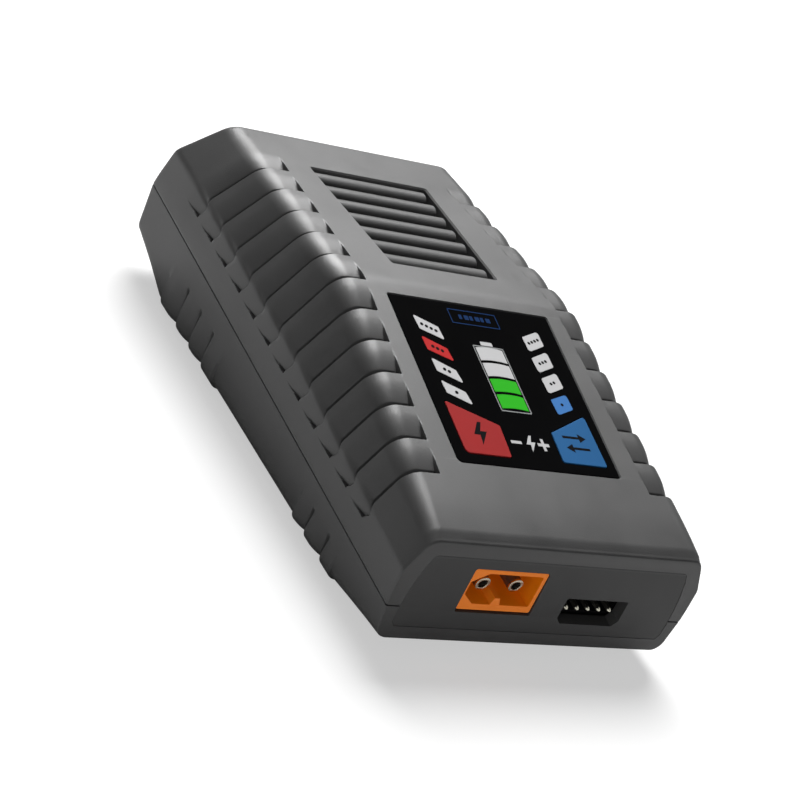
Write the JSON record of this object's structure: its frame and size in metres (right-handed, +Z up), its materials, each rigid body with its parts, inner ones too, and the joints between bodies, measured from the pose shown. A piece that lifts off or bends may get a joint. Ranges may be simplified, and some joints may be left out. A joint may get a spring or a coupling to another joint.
{
  "type": "balance battery charger",
  "caption": "Hand-sized mains balance charger for model battery packs: ribbed grip case, sloped key and gauge panel, fan vent, two-pole output and multi-pin balance sockets.",
  "frame": {"origin": "centre of the bounding box in plan, at the plane the four foot pads rest on", "axes": "+X to the right when looking at the output sockets from behind the case (looking along +Y), +Y from the output face to the mains inlet, +Z up from the foot pads to the panel"},
  "size_m": [0.0664, 0.1088, 0.0359],
  "materials": {
    "upper_shell": "fine spark-eroded grey",
    "lower_shell": "fine spark-eroded grey",
    "front_plate": "fine matte grey",
    "vent_grille": "fine matte grey",
    "panel_film": "satin black film",
    "panel_mark": "printed white",
    "mode_key": "satin blue",
    "current_key": "satin red",
    "current_lamps": "printed white",
    "current_lamp_lit": "lit red",
    "type_lamps": "printed white",
    "type_lamp_lit": "lit blue",
    "gauge_frame": "printed white line",
    "gauge_segments_off": "printed white",
    "gauge_segments_on": "lit green",
    "badge_frame": "printed dark blue line",
    "light_shroud": "white",
    "key_board": "green laminate",
    "lamp_chips": "small lamp chips",
    "mode_switch": "black",
    "mode_switch_stem": "off-white",
    "current_switch": "black",
    "current_switch_stem": "off-white",
    "key_board_screws": "zinc plated",
    "board_link": "black header",
    "main_board": "green laminate",
    "output_socket": "orange nylon",
    "output_pins": "plated",
    "balance_socket": "black nylon",
    "balance_pins": "tinned",
    "ac_inlet": "black",
    "ac_pins": "plated",
    "fuse": "dark brown",
    "line_choke_core": "coated ferrite",
    "line_choke_winding": "enamelled copper wire",
    "x_capacitor": "yellow",
    "bridge_rectifier": "black epoxy",
    "bulk_capacitors": "dark blue sleeve",
    "transformer_core": "ferrite",
    "transformer_winding": "yellow tape",
    "power_transistor": "black epoxy",
    "primary_heatsink": "mill",
    "output_rectifier": "black epoxy",
    "secondary_heatsink": "mill",
    "output_capacitors": "dark green sleeve",
    "charge_inductor": "ferrite",
    "controller_chip": "black epoxy",
    "balance_resistors": "black chips",
    "y_capacitor": "blue disc",
    "fan_frame": "black",
    "fan_rotor": "black",
    "fan_stator": "copper coils",
    "fan_screws": "zinc plated",
    "main_board_screws": "zinc plated",
    "case_screws": "dark plated",
    "rating_label": "blank silver label"
  },
  "bodies": {
    "housing": {"upper_shell": "upper_shell", "lower_shell": "lower_shell", "front_plate": "front_plate", "vent_grille": "vent_grille", "panel_film": "panel_film", "panel_mark": "panel_mark", "current_lamps": "current_lamps", "current_lamp_lit": "current_lamp_lit", "type_lamps": "type_lamps", "type_lamp_lit": "type_lamp_lit", "gauge_frame": "gauge_frame", "gauge_segments_off": "gauge_segments_off", "gauge_segments_on": "gauge_segments_on", "badge_frame": "badge_frame", "light_shroud": "light_shroud", "key_board": "key_board", "lamp_chips": "lamp_chips", "mode_switch": "mode_switch", "current_switch": "current_switch", "key_board_screws": "key_board_screws", "board_link": "board_link", "main_board": "main_board", "output_socket": "output_socket", "output_pins": "output_pins", "balance_socket": "balance_socket", "balance_pins": "balance_pins", "ac_inlet": "ac_inlet", "ac_pins": "ac_pins", "fuse": "fuse", "line_choke_core": "line_choke_core", "line_choke_winding": "line_choke_winding", "x_capacitor": "x_capacitor", "bridge_rectifier": "bridge_rectifier", "bulk_capacitors": "bulk_capacitors", "transformer_core": "transformer_core", "transformer_winding": "transformer_winding", "power_transistor": "power_transistor", "primary_heatsink": "primary_heatsink", "output_rectifier": "output_rectifier", "secondary_heatsink": "secondary_heatsink", "output_capacitors": "output_capacitors", "charge_inductor": "charge_inductor", "controller_chip": "controller_chip", "balance_resistors": "balance_resistors", "y_capacitor": "y_capacitor", "fan_frame": "fan_frame", "fan_stator": "fan_stator", "fan_screws": "fan_screws", "main_board_screws": "main_board_screws", "case_screws": "case_screws", "rating_label": "rating_label"},
    "mode_key": {"mode_key": "mode_key", "mode_switch_stem": "mode_switch_stem"},
    "current_key": {"current_key": "current_key", "current_switch_stem": "current_switch_stem"},
    "fan_rotor": {"fan_rotor": "fan_rotor"}
  },
  "joints": [
    {"name": "mode_press", "type": "slide", "parent": "housing", "child": "mode_key", "axis": [0, 0.2239, -0.9746], "range_m": [0, 0.0003], "stiffness_N_per_m": 15, "springref_m": -0.001},
    {"name": "current_press", "type": "slide", "parent": "housing", "child": "current_key", "axis": [0, 0.2239, -0.9746], "range_m": [0, 0.0003], "stiffness_N_per_m": 15, "springref_m": -0.001},
    {"name": "fan_spin", "type": "hinge", "parent": "housing", "child": "fan_rotor", "pos_m": [0, 0.02301, 0.0282], "axis": [0, 0.0335, 0.9994], "continuous": true}
  ]
}
